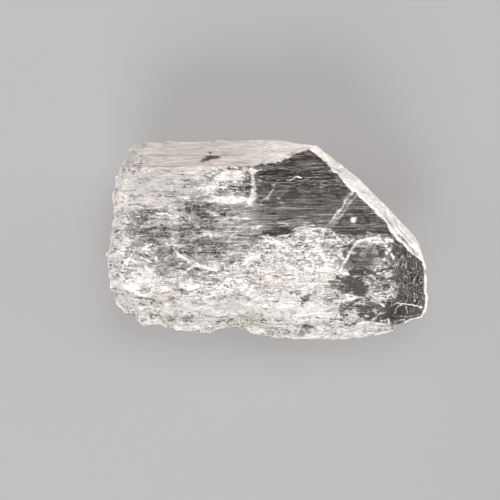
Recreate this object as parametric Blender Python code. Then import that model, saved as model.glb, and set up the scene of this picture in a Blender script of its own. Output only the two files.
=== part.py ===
"""A raw danburite crystal: one striated prism, lying on its flattest face.

The skin is one closed grid. Nine corner lines run the length of the crystal, and the flat prism faces lie
between them. Each line is fixed at five places: the rim and the shoulder of the broken left end, the waist,
the crease where the prism meets its sloping chisel end, and the rim of that end. A pole closes each end.
Outlines, striations, chips and etch hills are then added as distances in millimetres.

+X runs along the crystal to its chisel end, +Y to its straight back edge and +Z up. The origin is at the
centre of the bounding box's bottom.
"""

import bpy
import numpy as np

# Driving dimensions, in millimetres
LENGTH = 46.0
WIDTH = 28.5
THICKNESS = 14.0
MM = 0.001

# Corner lines in order round the section, over the top from the back to the front and home underneath.
# Each row: broken rim, shoulder, waist, chisel crease, chisel rim, as (x, y, z) in millimetres.
CORNER_LINES = {
    "back_rim": ((-20.9, 12.3, 9.0), (-18.6, 13.8, 9.6), (-1.1, 14.1, 10.0), (6.1, 13.6, 12.2), (7.9, 12.6, 9.6)),
    "back_crease": ((-21.2, 9.3, 11.8), (-19.4, 10.2, 13.6), (-1.1, 10.2, 14.0), (6.2, 12.5, 14.0), (8.4, 12.3, 11.6)),
    "mid_ridge": ((-22.7, 0.9, 11.4), (-20.9, 0.8, 13.3), (-1.1, 0.6, 13.8), (17.3, 2.2, 13.5), (22.1, -2.4, 9.7)),
    "ledge": ((-22.3, -6.0, 9.4), (-20.4, -7.0, 11.3), (-1.1, -7.4, 11.9), (17.6, -7.9, 11.2), (22.9, -8.2, 7.2)),
    "front_rim": ((-21.6, -10.3, 5.4), (-18.8, -12.3, 5.6), (-1.1, -13.7, 5.6), (17.9, -12.6, 6.2), (21.6, -11.3, 5.8)),
    "front_foot": ((-19.4, -7.4, 1.4), (-17.4, -8.2, 0.0), (-1.1, -9.4, 0.0), (15.8, -9.2, 0.0), (18.8, -9.4, 1.8)),
    "sole": ((-20.6, 0.5, 1.4), (-18.6, 0.4, 0.0), (-1.1, 0.0, 0.0), (16.4, -1.5, 0.0), (19.0, -1.2, 1.8)),
    "back_foot": ((-19.9, 7.2, 1.4), (-18.2, 8.0, 0.0), (-1.1, 8.2, 0.0), (5.0, 8.2, 0.0), (6.9, 9.6, 1.9)),
    "back_flank": ((-20.1, 10.6, 4.4), (-18.4, 12.3, 4.4), (-1.1, 12.8, 4.6), (5.8, 12.1, 5.4), (7.5, 11.9, 5.9)),
}
LEFT_POLE = (-22.5, 0.4, 6.2)
RIGHT_POLE = (21.0, -0.9, 5.8)

# How far wear has sunk each crease, and how far the lines wander, in millimetres
LEDGE_WEAR = 0.55
CHISEL_CREASE_WEAR = 0.45
SHOULDER_WEAR = 0.35
WAIST_FILL = 0.35
LEDGE_WANDER = 0.9
CHISEL_CREASE_WANDER = 0.9
SHOULDER_WANDER = 0.8

# Grid cells across each face, in the order of the corner lines, and along the crystal from pole to pole
CELLS_AROUND = (8, 16, 14, 14, 10, 5, 5, 7, 7)
CELLS_ALONG = (8, 3, 17, 16, 6, 7)

# Outlines seen from above, in millimetres: the front and back edges as (x, y), the two ends as (y, x)
BACK_EDGE = ((-19, 13.4), (-17.7, 13.9), (-15.2, 13.75), (-14.9, 14), (-11.1, 13.85), (-6.5, 14.15),
             (-5.7, 13.95), (-0.5, 14.15), (2, 14.05), (3.4, 13.7), (4.6, 13.45), (6.1, 13.3))
FRONT_EDGE = ((-20.2, -11), (-18.9, -12.5), (-17.2, -12.3), (-16.3, -12.3), (-15.5, -12.9), (-14.6, -12.7),
              (-13.7, -13.2), (-11.2, -13.3), (-10.3, -13.5), (-8.5, -13.6), (-7.7, -13.1), (-6, -12.8),
              (-5.1, -12.6), (-3.4, -13), (-2.5, -13.6), (-0.8, -13.95), (0.1, -14.2), (2.7, -14.2),
              (4.4, -14.4), (12.2, -14.4), (14.8, -13.95), (16.5, -13.7), (17.4, -13.35), (18.2, -12.3),
              (19.1, -12), (21.7, -11.4))
BROKEN_END = ((-10.2, -21.1), (-9.1, -22), (-8.2, -22.4), (-6.5, -22.9), (-5, -23.1), (-2.2, -23.1),
              (-1.4, -23), (0.4, -22.8), (2, -22.5), (2.9, -22.1), (6.3, -22.35), (7.2, -22), (8.9, -22),
              (9.7, -21.3), (11.4, -20.9), (12.3, -20.4))
CHISEL_END = ((-11.6, 22), (-10.9, 22.7), (-10.1, 23), (-9.1, 23.1), (-8.2, 23.1), (-7.4, 22.85),
              (-6.2, 22.85), (-4.2, 22.6), (-2.4, 22.1), (-0.8, 21.6), (0.1, 21.1), (1.2, 20.2), (2.25, 19.1),
              (4.6, 16.95), (6.6, 14.85), (8.6, 12.85), (10.2, 10.85), (11.6, 9), (12.3, 8))

# Conchoidal chips: a ball with its centre here and this radius, in millimetres, has taken the crystal away
CHIPS = (
    ((13.4, -3.9, 19.3), 7.6),
    ((20.6, -12.6, 11.8), 5.2),
    ((5.0, -9.6, 12.1), 1.7),
    ((5.8, -14.2, 7.6), 1.9),
    ((-4.4, -15.9, 9.7), 4.6),
    ((-9.6, -17.4, 1.6), 5.4),
    ((-21.6, 13.6, 13.4), 3.5),
)


def lattice(ix, iy, iz, seed):
    """A repeatable number from 0 to 1 for each whole-number point."""
    n = ix * 73856093 ^ iy * 19349663 ^ iz * 83492791 ^ seed * 26544357
    n = (n ^ n >> 13) * 1274126177 & 0xFFFFFFFF
    n = (n ^ n >> 15) * 2246822519 & 0xFFFFFFFF
    return (n ^ n >> 16 & 0xFFFF) % 65536 / 65535.0


def smooth_noise(points, sizes, seed):
    """Value noise from -1 to 1: lattice numbers eased between cells of these sizes in millimetres."""
    scaled = points / np.asarray(sizes, float)
    cell = np.floor(scaled).astype(np.int64)
    ease = (scaled - cell) ** 2 * (3 - 2 * (scaled - cell))
    total = np.zeros(points.shape[:-1])
    for corner in np.ndindex(2, 2, 2):
        weight = np.prod(np.where(corner, ease, 1 - ease), axis=-1)
        ix, iy, iz = np.moveaxis(cell + corner, -1, 0)
        total += weight * lattice(ix, iy, iz, seed)
    return 2 * total - 1


def cleaved_noise(points, sizes, seed):
    """Small flat breaks from -1 to 1: each random cell has a height and a tilt, blended just at the seams."""
    scaled = points / np.asarray(sizes, float)
    cell = np.floor(scaled).astype(np.int64)
    height = np.zeros(points.shape[:-1])
    share = np.full(points.shape[:-1], 1e-9)
    for step in np.ndindex(3, 3, 3):
        ix, iy, iz = np.moveaxis(cell + np.array(step) - 1, -1, 0)
        seeds = [lattice(ix, iy, iz, seed + k) for k in range(7)]
        offset = scaled - np.stack([ix + seeds[0], iy + seeds[1], iz + seeds[2]], axis=-1)
        distance = (offset ** 2).sum(axis=-1)
        tilt = np.stack(seeds[3:6], axis=-1) * 2 - 1
        value = (seeds[6] * 2 - 1) * 0.5 + (offset * tilt).sum(axis=-1) * 0.8
        weight = np.exp(-14 * distance)
        height += weight * value
        share += weight
    return np.clip(height / share, -1, 1)


def spread(knots, cells):
    """Evenly spaced stations between whole-number knots, with this many cells in each gap."""
    return np.concatenate([k + np.arange(c) / c for k, c in zip(knots, cells)])


def cage():
    """The corner lines as an array [place along][line][xyz], with a pole repeated at each end."""
    lines = np.array(list(CORNER_LINES.values()), float).transpose(1, 0, 2)
    left = np.tile(LEFT_POLE, (1, lines.shape[1], 1))
    right = np.tile(RIGHT_POLE, (1, lines.shape[1], 1))
    return np.concatenate([left, lines, right])


def ruled(along, around):
    """Points of the flat-faced crystal: straight lines between the cage's points, both ways."""
    net = cage()
    row = np.clip(along.astype(int), 0, net.shape[0] - 2)
    column = around.astype(int)
    u = (along - row)[:, None, None]
    v = (around - column)[None, :, None]
    after = (column + 1) % net.shape[1]
    near = net[row][:, column] * (1 - v) + net[row][:, after] * v
    far = net[row + 1][:, column] * (1 - v) + net[row + 1][:, after] * v
    return near * (1 - u) + far * u


def ramp(value, start, end):
    """0 at start to 1 at end, eased."""
    t = np.clip((value - start) / (end - start), 0, 1)
    return t * t * (3 - 2 * t)


def near_line(around, line):
    """1 on a corner line, falling to 0 at the lines on either side."""
    count = len(CORNER_LINES)
    away = np.abs((around - line + count / 2) % count - count / 2)
    return np.clip(1 - away, 0, 1)


def edge_shift(points, along, around):
    """Moves the rims onto the crystal's four outlines."""
    moved = points.copy()
    body = ramp(along, 1.0, 2.0) * (1 - ramp(along, 4.0, 5.0))
    net = cage()
    for line, edge in ((0, BACK_EDGE), (4, FRONT_EDGE)):
        xs, ys = np.array(edge, float).T
        straight = np.interp(points[..., 0], net[1:6, line, 0], net[1:6, line, 1])
        wanted = np.interp(points[..., 0], xs, ys)
        moved[..., 1] += near_line(around, line) * body * (wanted - straight)
    for edge, rim in ((BROKEN_END, 1), (CHISEL_END, 5)):
        ys, xs = np.array(edge, float).T
        lines = [4, 3, 2, 1]
        straight = np.interp(points[..., 1], net[rim, lines, 1], net[rim, lines, 0])
        wanted = np.interp(points[..., 1], ys, xs)
        inside = ramp(points[..., 1], ys[0] - 0.6, ys[0]) * (1 - ramp(points[..., 1], ys[-1], ys[-1] + 0.6))
        moved[..., 0] += np.clip(1 - np.abs(along - rim), 0, 1) * inside * (wanted - straight)
    return moved


def bell(value, middle, width):
    """A bell curve: 1 at the middle, a third of that at this width."""
    return np.exp(-((value - middle) / width) ** 2)


def worn_creases(points, along, around):
    """The ledge and the creases before both ends wander, and are worn round by bell curves of their distance."""
    x, y = points[..., 0], points[..., 1]
    lower = ramp(around, 2.0, 2.4) * (1 - ramp(around, 4.4, 4.9))
    ledge = bell(around, 3, 0.20) * ramp(along, 1.0, 1.5) * (1 - ramp(along, 4.6, 5.0))
    crease = bell(along, 4, 0.35) * lower
    shoulder = bell(along, 2, 0.40) * ramp(around, 0.1, 0.8) * (1 - ramp(around, 4.2, 4.8))
    waist = bell(along, 3, 0.35) * (1 - ramp(around, 0.2, 1.0))
    sway = smooth_noise(np.stack([x, 0 * x, 0 * x], axis=-1), (4.5, 1, 1), 25)
    drift = smooth_noise(np.stack([0 * y, y, 0 * y], axis=-1), (1, 2.8, 1), 26)
    moved = points.copy()
    moved[..., 0] += (CHISEL_CREASE_WANDER * crease + SHOULDER_WANDER * shoulder) * drift
    moved[..., 1] += LEDGE_WANDER * ledge * sway
    moved[..., 2] += WAIST_FILL * waist - LEDGE_WEAR * ledge - CHISEL_CREASE_WEAR * crease - SHOULDER_WEAR * shoulder
    return moved


def normals_of(grid):
    """Outward directions of the grid's faces, averaged at each point."""
    along = np.gradient(grid, axis=0)
    wrapped = np.concatenate([grid[:, -1:], grid, grid[:, :1]], axis=1)
    around = (wrapped[:, 2:] - wrapped[:, :-2]) / 2
    normal = np.cross(around, along)
    return normal / np.maximum(np.linalg.norm(normal, axis=-1, keepdims=True), 1e-9)


def relief(points, along, around):
    """How far the skin stands out from the flat faces, in millimetres."""
    x = points[..., 0]
    body = ramp(along, 1.4, 2.0) * (1 - ramp(along, 4.0, 4.2))
    broken = 1 - ramp(x + 1.6 * smooth_noise(points, (9, 4, 4), 3), -22.0, -17.8)
    lower = ramp(around, 2.0, 2.3) * (1 - ramp(around, 4.6, 5.0))
    front = ramp(around, 3.0, 3.3) * (1 - ramp(around, 4.7, 5.0))
    glassy = ramp(along, 3.9, 4.3) * ramp(around, 2.0, 2.3) * (1 - ramp(around, 4.6, 5.0))
    striae = 0.12 * smooth_noise(points, (34, 1.5, 1.5), 5) + 0.07 * smooth_noise(points, (18, 0.8, 0.8), 6)
    height = striae * body * (1 - 0.5 * lower)
    height += broken * (0.42 * cleaved_noise(points, (2.3, 2.3, 2.0), 11) + 0.2 * smooth_noise(points, (3, 2, 2), 12))
    height += lower * (1 - glassy) * 0.20 * cleaved_noise(points, (4.6, 1.8, 1.8), 13)
    height += front * (1 - glassy) * 0.26 * cleaved_noise(points, (3.0, 1.9, 1.9), 14)
    height *= 1 - 0.7 * bell(around, 4, 0.30) * ramp(along, 1.5, 2.0)
    height += glassy * 0.20 * smooth_noise(points, (1.3, 2.6, 1.7), 15)
    base = ramp(around, 4.7, 5.0) * (1 - ramp(around, 7.0, 7.3)) * ramp(along, 1.7, 2.0) * (1 - ramp(along, 4.0, 4.3))
    return height * (1 - base)


def chipped(points):
    """Cuts the conchoidal chips: a point inside a ball goes straight out to the ball's surface."""
    cut = points.copy()
    for centre, radius in CHIPS:
        away = cut - np.array(centre)
        distance = np.maximum(np.linalg.norm(away, axis=-1, keepdims=True), 1e-6)
        cut = np.where(distance < radius, np.array(centre) + away / distance * radius, cut)
    return cut


def ledge_step(points, along, around):
    """A broken ledge on the front face near the left end: below its lip the crystal steps back."""
    x, y = points[..., 0], points[..., 1]
    lip = -7.6 - 0.17 * (x + 21.0) + 0.3 * smooth_noise(points, (2.0, 9, 9), 21)
    below = ramp(lip - y, 0.0, 0.45) * (1 - ramp(lip - y, 1.6, 4.2)) * (1 - ramp(x, -15.0, -11.5))
    cut = points.copy()
    cut[..., 2] -= 1.15 * below * ramp(around, 2.6, 2.9) * (1 - ramp(around, 4.0, 4.1)) * ramp(along, 0.9, 1.2)
    return cut


def skin():
    """The grid of skin points in millimetres, and the two poles."""
    along = spread(range(6), CELLS_ALONG)[1:]
    around = spread(range(len(CELLS_AROUND)), CELLS_AROUND)
    grid = ruled(along, around)
    u = np.repeat(along[:, None], len(around), axis=1)
    v = np.repeat(around[None, :], len(along), axis=0)
    grid = worn_creases(edge_shift(grid, u, v), u, v)
    grid = grid + normals_of(grid) * relief(grid, u, v)[..., None]
    grid = chipped(ledge_step(grid, u, v))
    poles = np.array([LEFT_POLE, RIGHT_POLE], float)
    return grid, poles


def fit_to_size(grid, poles):
    """Scales the skin to the driving dimensions, with the origin under the middle of the box."""
    points = np.concatenate([grid.reshape(-1, 3), poles])
    low, high = points.min(axis=0), points.max(axis=0)
    size = np.array([LENGTH, WIDTH, THICKNESS])
    return (points - low) / (high - low) * size - size * (0.5, 0.5, 0.0)


def faces_of(rows, columns):
    """Quads of the grid that closes round the section, with a fan of triangles at each pole."""
    ring = np.arange(columns)
    after = (ring + 1) % columns
    faces = []
    for row in range(rows - 1):
        low, high = row * columns, (row + 1) * columns
        faces += [(low + a, low + b, high + b, high + a) for a, b in zip(ring, after)]
    left, right, last = rows * columns, rows * columns + 1, (rows - 1) * columns
    faces += [(left, b, a) for a, b in zip(ring, after)]
    faces += [(right, last + a, last + b) for a, b in zip(ring, after)]
    return [tuple(int(i) for i in face) for face in faces]


def crystal_material():
    """Clear danburite: glassy, index 1.63, with a faint warm pink."""
    material = bpy.data.materials.new("clear_danburite")
    material.use_nodes = True
    shader = material.node_tree.nodes["Principled BSDF"]
    shader.inputs["Base Color"].default_value = (0.91, 0.87, 0.86, 1.0)
    shader.inputs["Roughness"].default_value = 0.12
    shader.inputs["Metallic"].default_value = 0.0
    shader.inputs["IOR"].default_value = 1.633
    shader.inputs["Transmission Weight"].default_value = 0.85
    return material


def build_crystal():
    """The one solid: its mesh, its material and its place on the ground."""
    grid, poles = skin()
    points = fit_to_size(grid, poles) * MM
    mesh = bpy.data.meshes.new("danburite_crystal")
    mesh.from_pydata(points.tolist(), [], faces_of(*grid.shape[:2]))
    mesh.validate()
    mesh.materials.append(crystal_material())
    crystal = bpy.data.objects.new("danburite_crystal", mesh)
    bpy.context.scene.collection.objects.link(crystal)
    return crystal


def main():
    for old in list(bpy.data.objects):
        bpy.data.objects.remove(old)
    build_crystal()


main()
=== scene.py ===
from functools import partial
import bpy
import numpy as np
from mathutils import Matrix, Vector


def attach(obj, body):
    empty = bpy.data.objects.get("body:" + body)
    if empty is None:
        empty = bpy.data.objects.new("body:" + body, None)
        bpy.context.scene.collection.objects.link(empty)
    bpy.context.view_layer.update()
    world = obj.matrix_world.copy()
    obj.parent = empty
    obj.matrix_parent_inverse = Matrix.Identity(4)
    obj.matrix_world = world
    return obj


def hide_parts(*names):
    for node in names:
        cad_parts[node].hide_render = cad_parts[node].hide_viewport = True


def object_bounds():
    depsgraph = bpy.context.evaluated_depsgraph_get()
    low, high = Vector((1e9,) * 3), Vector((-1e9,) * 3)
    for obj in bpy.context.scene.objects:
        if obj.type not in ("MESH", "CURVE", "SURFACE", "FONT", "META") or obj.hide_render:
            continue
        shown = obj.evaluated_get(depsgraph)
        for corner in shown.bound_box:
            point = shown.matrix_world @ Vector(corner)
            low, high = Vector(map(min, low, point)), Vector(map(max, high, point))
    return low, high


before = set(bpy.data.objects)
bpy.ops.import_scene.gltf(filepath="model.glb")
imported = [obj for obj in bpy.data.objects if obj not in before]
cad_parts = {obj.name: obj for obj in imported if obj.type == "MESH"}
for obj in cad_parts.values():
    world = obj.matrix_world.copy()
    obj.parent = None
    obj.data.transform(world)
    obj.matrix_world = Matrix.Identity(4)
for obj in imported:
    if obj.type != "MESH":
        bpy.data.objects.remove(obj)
cadLow, cadHigh = [np.array(corner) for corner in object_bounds()]
mm = 0.001
print("frame loaded:", np.round((cadHigh - cadLow) / mm, 2), "mm")


# sRGB hex to linear light: each channel is c / 12.92 up to 0.04045 and ((c + 0.055) / 1.055) ** 2.4 above it
def linear(hexColour):
    c = np.array([int(hexColour[i:i + 2], 16) for i in (1, 3, 5)]) / 255
    return (*np.where(c <= 0.04045, c / 12.92, ((c + 0.055) / 1.055) ** 2.4).tolist(), 1.0)


# one node: inputs holds socket values, or the nodes or sockets that feed them,
# and settings the node's own properties
def addNode(tree, kind, inputs=(), **settings):
    node = tree.nodes.new("ShaderNode" + kind)
    for name, value in settings.items():
        setattr(node, name, value)
    for key, value in dict(inputs).items():
        source = value.outputs[0] if isinstance(value, bpy.types.Node) else value
        if isinstance(source, bpy.types.NodeSocket):
            tree.links.new(source, node.inputs[key])
        else:
            node.inputs[key].default_value = source
    return node


# a repeatable number from 0 to 1 for each whole-number point: the three indices and a seed,
# multiplied by big primes and mixed bit by bit
def lattice(ix, iy, iz, seed):
    n = ix * 73856093 ^ iy * 19349663 ^ iz * 83492791 ^ seed * 26544357
    n = (n ^ n >> 13) * 1274126177 & 0xFFFFFFFF
    n = (n ^ n >> 15) * 2246822519 & 0xFFFFFFFF
    return (n ^ n >> 16 & 0xFFFF) % 65536 / 65535.0


# points counted in cells of these sizes in mm, and the whole-number cell that each is in
def inCells(points, sizes):
    scaled = points / np.asarray(sizes, float)
    return scaled, np.floor(scaled).astype(np.int64)


# value noise from -1 to 1: lattice numbers at the corners of cells of these sizes in mm, eased by 3t^2 - 2t^3
def smoothNoise(points, sizes, seed):
    scaled, cell = inCells(points, sizes)
    ease = (scaled - cell) ** 2 * (3 - 2 * (scaled - cell))
    total = np.zeros(points.shape[:-1])
    for corner in np.ndindex(2, 2, 2):
        weight = np.prod(np.where(corner, ease, 1 - ease), axis=-1)
        ix, iy, iz = np.moveaxis(cell + corner, -1, 0)
        total += weight * lattice(ix, iy, iz, seed)
    return 2 * total - 1


# broken facets from -1 to 1: each random cell is a small tilted plane,
# and a weight of exp(-sharp d^2) blends the seams
def cleavedNoise(points, sizes, seed, sharp=14, tilt=0.8):
    scaled, cell = inCells(points, sizes)
    height = np.zeros(points.shape[:-1])
    share = np.full(points.shape[:-1], 1e-9)
    for step in np.ndindex(3, 3, 3):
        ix, iy, iz = np.moveaxis(cell + np.array(step) - 1, -1, 0)
        seeds = [lattice(ix, iy, iz, seed + k) for k in range(7)]
        offset = scaled - np.stack([ix + seeds[0], iy + seeds[1], iz + seeds[2]], axis=-1)
        lean = np.stack(seeds[3:6], axis=-1) * 2 - 1
        weight = np.exp(-sharp * (offset ** 2).sum(axis=-1))
        height += weight * ((seeds[6] * 2 - 1) * 0.5 + (offset * lean).sum(axis=-1) * tilt)
        share += weight
    return np.clip(height / share, -1, 1)


# etch hills from 0 to 1: the height is 1 - d^2 over the nearest of the random cell centres,
# so they meet in sharp valleys
def hillNoise(points, sizes, seed):
    scaled, cell = inCells(points, sizes)
    nearest = np.full(points.shape[:-1], 9.0)
    for step in np.ndindex(3, 3, 3):
        ix, iy, iz = np.moveaxis(cell + np.array(step) - 1, -1, 0)
        centre = np.stack([ix + lattice(ix, iy, iz, seed), iy + lattice(ix, iy, iz, seed + 1),
                           iz + lattice(ix, iy, iz, seed + 2)], axis=-1)
        nearest = np.minimum(nearest, ((scaled - centre) ** 2).sum(axis=-1))
    return np.clip(1 - nearest, 0, 1)


# 0 at start to 1 at end, eased by 3t^2 - 2t^3
def ramp(value, start, end):
    t = np.clip((value - start) / (end - start), 0, 1)
    return t * t * (3 - 2 * t)


# up from 0 to 1 between start and full, and down again between falls and ends
def band(value, start, full, falls, ends):
    return ramp(value, start, full) * (1 - ramp(value, falls, ends))


# a bell curve: exp(-d^2), where d is the distance from its middle in widths
def bell(value, middle, width):
    return np.exp(-((value - middle) / width) ** 2)


# layers of one noise added up: each row is a height, cell sizes in mm and a seed
def layered(noise, points, rows):
    return sum(height * noise(points, sizes, seed) for height, sizes, seed in rows)


# u counts these places along the crystal from its left pole at 0 to its right pole at 6,
# and v these corner lines round it, over the top from back to front and home underneath
brokenRim, shoulder, waist, chiselCrease, chiselRim = range(1, 6)
backRim, backCrease, midRidge, ledge, frontRim, frontFoot, sole, backFoot, backFlank = range(9)

# each corner line at the broken rim, shoulder, waist, chisel crease and chisel rim, as (x, y, z) in mm
cornerLines = {
    backRim: ((-20.9, 12.3, 9), (-18.6, 13.8, 9.6), (-1.1, 14.1, 10), (6.1, 13.6, 12.2), (7.9, 12.6, 9.6)),
    backCrease: ((-21.2, 9.3, 11.8), (-19.4, 10.2, 13.6), (-1.1, 10.2, 14), (6.2, 12.5, 14),
                 (8.4, 12.3, 11.6)),
    midRidge: ((-22.7, 0.9, 11.4), (-20.9, 0.8, 13.3), (-1.1, 0.6, 13.8), (17.3, 2.2, 13.5),
               (22.1, -2.4, 9.7)),
    ledge: ((-22.3, -6, 9.4), (-20.4, -7, 11.3), (-1.1, -7.4, 11.9), (17.6, -7.9, 11.2), (22.9, -8.2, 7.2)),
    frontRim: ((-21.6, -10.3, 5.4), (-18.8, -12.3, 5.6), (-1.1, -13.7, 5.6), (17.9, -12.6, 6.2),
               (21.6, -11.3, 5.8)),
    frontFoot: ((-19.4, -7.4, 1.4), (-17.4, -8.2, 0), (-1.1, -9.4, 0), (15.8, -9.2, 0), (18.8, -9.4, 1.8)),
    sole: ((-20.6, 0.5, 1.4), (-18.6, 0.4, 0), (-1.1, 0, 0), (16.4, -1.5, 0), (19, -1.2, 1.8)),
    backFoot: ((-19.9, 7.2, 1.4), (-18.2, 8, 0), (-1.1, 8.2, 0), (5, 8.2, 0), (6.9, 9.6, 1.9)),
    backFlank: ((-20.1, 10.6, 4.4), (-18.4, 12.3, 4.4), (-1.1, 12.8, 4.6), (5.8, 12.1, 5.4),
                (7.5, 11.9, 5.9)),
}
crystal = dict(
    leftPole=(-22.5, 0.4, 6.2),
    rightPole=(21, -0.9, 5.8),
    cellsAround=(30, 78, 64, 54, 20, 6, 6, 12, 16),
    cellsAlong=(24, 12, 108, 98, 38, 28),
    # outlines from above: front and back as (x, y), the two ends as (y, x)
    backEdge=((-19, 13.4), (-17.7, 13.9), (-15.2, 13.75), (-14.9, 14), (-11.1, 13.85), (-6.5, 14.15),
              (-5.7, 13.95), (-0.5, 14.15), (2, 14.05), (3.4, 13.7), (4.6, 13.45), (6.1, 13.3)),
    frontEdge=((-20.2, -11), (-18.9, -12.5), (-17.2, -12.3), (-16.3, -12.3), (-15.5, -12.9), (-14.6, -12.7),
               (-13.7, -13.2), (-11.2, -13.3), (-10.3, -13.5), (-8.5, -13.6), (-7.7, -13.1), (-6, -12.8),
               (-5.1, -12.6), (-3.4, -13), (-2.5, -13.6), (-0.8, -13.95), (0.1, -14.2), (2.7, -14.2),
               (4.4, -14.4), (12.2, -14.4), (14.8, -13.95), (16.5, -13.7), (17.4, -13.35), (18.2, -12.3),
               (19.1, -12), (21.7, -11.4)),
    brokenEnd=((-10.2, -21.1), (-9.1, -22), (-8.2, -22.4), (-6.5, -22.9), (-5, -23.1), (-2.2, -23.1),
               (-1.4, -23), (0.4, -22.8), (2, -22.5), (2.9, -22.1), (6.3, -22.35), (7.2, -22), (8.9, -22),
               (9.7, -21.3), (11.4, -20.9), (12.3, -20.4)),
    chiselEnd=((-11.6, 22), (-10.9, 22.7), (-10.1, 23), (-9.1, 23.1), (-8.2, 23.1), (-7.4, 22.85),
               (-6.2, 22.85), (-4.2, 22.6), (-2.4, 22.1), (-0.8, 21.6), (0.1, 21.1), (1.2, 20.2),
               (2.25, 19.1), (4.6, 16.95), (6.6, 14.85), (8.6, 12.85), (10.2, 10.85), (11.6, 9), (12.3, 8)),
    endFade=0.6,  # mm past the last point of an end's outline
    # worn corners: half width in places, where they fade in and out, and how far they sink and wander in mm
    worn=dict(
        ledge=dict(width=0.2, fades=(1, 1.5, 4.6, 5), sinks=0.55, wanders=0.9),
        crease=dict(width=0.35, fades=(2, 2.4, 4.4, 4.9), sinks=0.45, wanders=0.9),
        shoulder=dict(width=0.4, fades=(0.1, 0.8, 4.2, 4.8), sinks=0.35, wanders=0.8),
    ),
    wornTurns=((4.5, 25), (2.8, 26)),  # of the ledge and of the two creases: cell length in mm and seed
    sharpFrom=32,  # degrees between two faces from which their edge looks sharp
    waistLift=dict(height=0.35, width=0.35, fades=(0.2, 1)),  # the back rim is fuller at the waist
    # conchoidal chips: ball centre and radius in mm
    chips=(((13.4, -3.9, 19.3), 7.6), ((20.6, -12.6, 11.8), 5.2), ((5, -9.6, 12.1), 1.7),
           ((5.8, -14.2, 7.6), 1.9), ((-4.4, -15.9, 9.7), 4.6), ((-9.6, -17.4, 1.6), 5.4),
           ((-21.6, 13.6, 13.4), 3.5)),
    # relief: height in mm, cell sizes in mm and seed
    striae=((0.12, (34, 1.5, 1.5), 5), (0.07, (18, 0.8, 0.8), 6), (0.03, (26, 0.36, 0.36), 7)),
    hackle=((0.42, (2.3, 2.3, 2), 11), (0.14, (0.9, 0.9, 0.8), 31)),
    hackleSwell=((0.2, (3, 2, 2), 12),),
    hackleSway=((1.6, (9, 4, 4), 3),),
    steps=((0.2, (4.6, 1.8, 1.8), 13), (0.05, (1.1, 0.4, 0.4), 32)),
    frontEdgeTeeth=((0.15, (0.9, 1.2, 1.2), 36),),
    frontSteps=((0.26, (3, 1.9, 1.9), 14), (0.11, (1.5, 0.7, 0.7), 33)),
    glassySwell=((0.2, (1.3, 2.6, 1.7), 15),),
    etchHills=dict(height=0.32, sizes=(0.8, 1.6, 1.2), seed=34, foot=0.6),
    chiselGrooves=dict(height=0.05, width=0.42, across=(0.68, 0.73), seed=35),
    # where relief grows: it starts, is full, falls and ends at these u or v, or these x in mm
    grows=dict(
        body=(1.4, 2, 4, 4.2),  # u
        broken=(-22, -17.8),  # x
        lower=(2, 2.3, 4.6, 5),  # v
        front=(3, 3.3, 4.7, 5),  # v
        glassy=(3.9, 4.3),  # u
        chiselAlong=(3.95, 4.01, 5.57, 5.63),  # u
        chiselRound=(1.9, 2.1),  # v
        frontRim=(1.5, 2),  # u
        soleRound=(4.7, 5, 7, 7.3),  # v
        soleAlong=(1.7, 2, 4, 4.3),  # u
    ),
    lowerStriae=0.5,  # share of the striae that the lower faces lose
    rimCalm=dict(share=0.7, width=0.3),  # how much flatter the front rim is, and over what half width
    teethWidth=0.22,
    # the broken ledge: its lip runs from lipY at lipX with this slope, and the face drops below it
    brokenLedge=dict(lipX=-21, lipY=-7.6, slope=-0.17, sway=((0.3, (2, 9, 9), 21),), drop=1.15,
                     below=(0, 0.3, 1.6, 4.2), ends=(-15, -11.5), along=(0.9, 1.2),
                     around=(2.6, 2.9, 4, 4.1)),
)


# points between the corner lines: straight along the crystal (u) and round it (v), with a pole at each end
def ruledSkin(u, v):
    lines = np.array(list(cornerLines.values()), float).transpose(1, 0, 2)
    count = lines.shape[1]
    net = np.concatenate([np.tile(crystal["leftPole"], (1, count, 1)), lines,
                          np.tile(crystal["rightPole"], (1, count, 1))])
    row = np.clip(u.astype(int), 0, net.shape[0] - 2)
    column = v.astype(int)
    s, t = (u - row)[:, None, None], (v - column)[None, :, None]
    after = (column + 1) % count
    near = net[row][:, column] * (1 - t) + net[row][:, after] * t
    far = net[row + 1][:, column] * (1 - t) + net[row + 1][:, after] * t
    return near * (1 - s) + far * s, net


# adds the gap between each outline and the straight rim, fading to nothing at the next corner line
def ontoOutlines(grid, u, v, net):
    moved = grid.copy()
    x, y = grid[..., 0], grid[..., 1]
    count = net.shape[1]
    body = band(u, brokenRim, shoulder, chiselCrease, chiselRim)
    for line, name in ((backRim, "backEdge"), (frontRim, "frontEdge")):
        xs, ys = np.array(crystal[name], float).T
        nearLine = np.clip(1 - np.abs((v - line + count / 2) % count - count / 2), 0, 1)
        gap = np.interp(x, xs, ys) - np.interp(x, net[1:-1, line, 0], net[1:-1, line, 1])
        moved[..., 1] += nearLine * body * gap
    lines = [frontRim, ledge, midRidge, backCrease]
    for row, name in ((brokenRim, "brokenEnd"), (chiselRim, "chiselEnd")):
        ys, xs = np.array(crystal[name], float).T
        inside = band(y, ys[0] - crystal["endFade"], ys[0], ys[-1], ys[-1] + crystal["endFade"])
        gap = np.interp(y, ys, xs) - np.interp(y, net[row, lines, 1], net[row, lines, 0])
        moved[..., 0] += np.clip(1 - np.abs(u - row), 0, 1) * inside * gap
    return moved


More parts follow.
